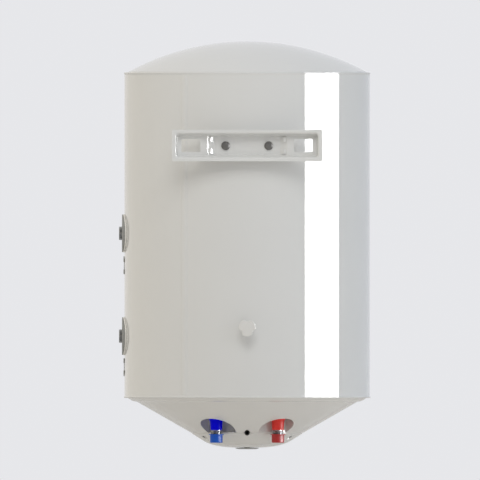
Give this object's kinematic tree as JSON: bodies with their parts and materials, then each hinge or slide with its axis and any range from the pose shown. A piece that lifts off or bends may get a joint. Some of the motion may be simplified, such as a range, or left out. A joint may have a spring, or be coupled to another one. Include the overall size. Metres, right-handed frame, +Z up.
{
  "type": "tank water heater",
  "caption": "Wall-hung cylindrical tank water heater with a domed top, conical service end, pipe stubs in pockets below, side coil connections and a tray-shaped wall bracket.",
  "frame": {"origin": "on the wall plane, at mid-width on the wall bracket's upper flange", "axes": "+Z up along the tank's axis; +Y towards the wall, so the front faces -Y; +X towards the side with the coil connections and the cold inlet"},
  "size_m": [0.48, 0.4974, 0.7787],
  "materials": {
    "enamel": "gloss",
    "cover_plastic": "gloss",
    "white_plastic": "satin",
    "grey_plastic": "satin",
    "steel": "satin",
    "dark_steel": "satin",
    "bolt_cap": "satin",
    "control_plastic": "satin",
    "blue_plastic": "gloss",
    "red_plastic": "gloss",
    "blue_cap": "satin",
    "red_cap": "satin",
    "rubber": "matte",
    "vessel_steel": "satin",
    "foam": "matte",
    "copper": "satin",
    "magnesium": "matte"
  },
  "bodies": {
    "heater": {"outer_jacket": "enamel", "top_cover": "enamel", "wall_bracket": "enamel", "bottom_cover": "cover_plastic", "service_cover": "cover_plastic", "spacer_insert": "cover_plastic", "collar_upper": "white_plastic", "collar_lower": "white_plastic", "cold_diffuser": "white_plastic", "hot_dip_tube": "white_plastic", "terminal_block": "white_plastic", "rosette_upper": "grey_plastic", "rosette_lower": "grey_plastic", "flow_arrow_upper": "grey_plastic", "flow_arrow_lower": "grey_plastic", "spacer_locknut": "steel", "coil_nipple_upper": "steel", "coil_nipple_lower": "steel", "cold_pipe": "steel", "hot_pipe": "steel", "flange_plate": "steel", "control_plate": "steel", "flange_bolt_1": "steel", "flange_bolt_2": "steel", "flange_bolt_3": "steel", "flange_bolt_4": "steel", "flange_bolt_5": "steel", "flange_bolt_6": "steel", "mount_strap": "dark_steel", "mount_boss_left": "dark_steel", "mount_boss_right": "dark_steel", "cover_screw_1": "dark_steel", "cover_screw_2": "dark_steel", "cover_screw_3": "dark_steel", "bracket_bolt_left": "bolt_cap", "bracket_bolt_right": "bolt_cap", "thermostat_body": "control_plastic", "safety_cutout": "control_plastic", "cold_sleeve": "blue_plastic", "hot_sleeve": "red_plastic", "cable_grommet": "rubber", "flange_gasket": "rubber", "vessel_shell": "vessel_steel", "vessel_top_head": "vessel_steel", "vessel_bottom_head": "vessel_steel", "heat_coil": "vessel_steel", "insulation_foam": "foam", "heating_element_left": "copper", "heating_element_right": "copper", "probe_pocket": "copper", "anode_rod": "magnesium"},
    "cold_dust_cap": {"cold_cap": "blue_cap"},
    "hot_dust_cap": {"hot_cap": "red_cap"},
    "spacer_screw": {"spacer_stud": "steel"},
    "spacer_star": {"spacer_foot": "cover_plastic"},
    "thermostat_control": {"thermostat_knob": "control_plastic", "thermostat_spindle": "steel"},
    "cutout_reset": {"reset_button": "red_plastic"}
  },
  "joints": [
    {"name": "cold_cap_pull", "type": "slide", "parent": "heater", "child": "cold_dust_cap", "axis": [0, 0, -1], "range_m": [0, 0.03]},
    {"name": "hot_cap_pull", "type": "slide", "parent": "heater", "child": "hot_dust_cap", "axis": [0, 0, -1], "range_m": [0, 0.03]},
    {"name": "spacer_travel", "type": "slide", "parent": "heater", "child": "spacer_screw", "axis": [0, 1, 0], "range_m": [-0.012, 0]},
    {"name": "spacer_turn", "type": "hinge", "parent": "spacer_screw", "child": "spacer_star", "pos_m": [0, -0.004, -0.3745], "axis": [0, 1, 0], "range_deg": [-3456, 0]},
    {"name": "thermostat_turn", "type": "hinge", "parent": "heater", "child": "thermostat_control", "pos_m": [0, -0.262, -0.6044], "axis": [0, 0, 1], "range_deg": [0, 270]},
    {"name": "reset_press", "type": "slide", "parent": "heater", "child": "cutout_reset", "axis": [0, 0, 1], "range_m": [0, 0.0015], "stiffness_N_per_m": 200, "springref_m": -0.002}
  ],
  "couplings": [
    {"joint": "spacer_travel", "follows": "spacer_turn", "m_per_rad": 0.00019894}
  ]
}
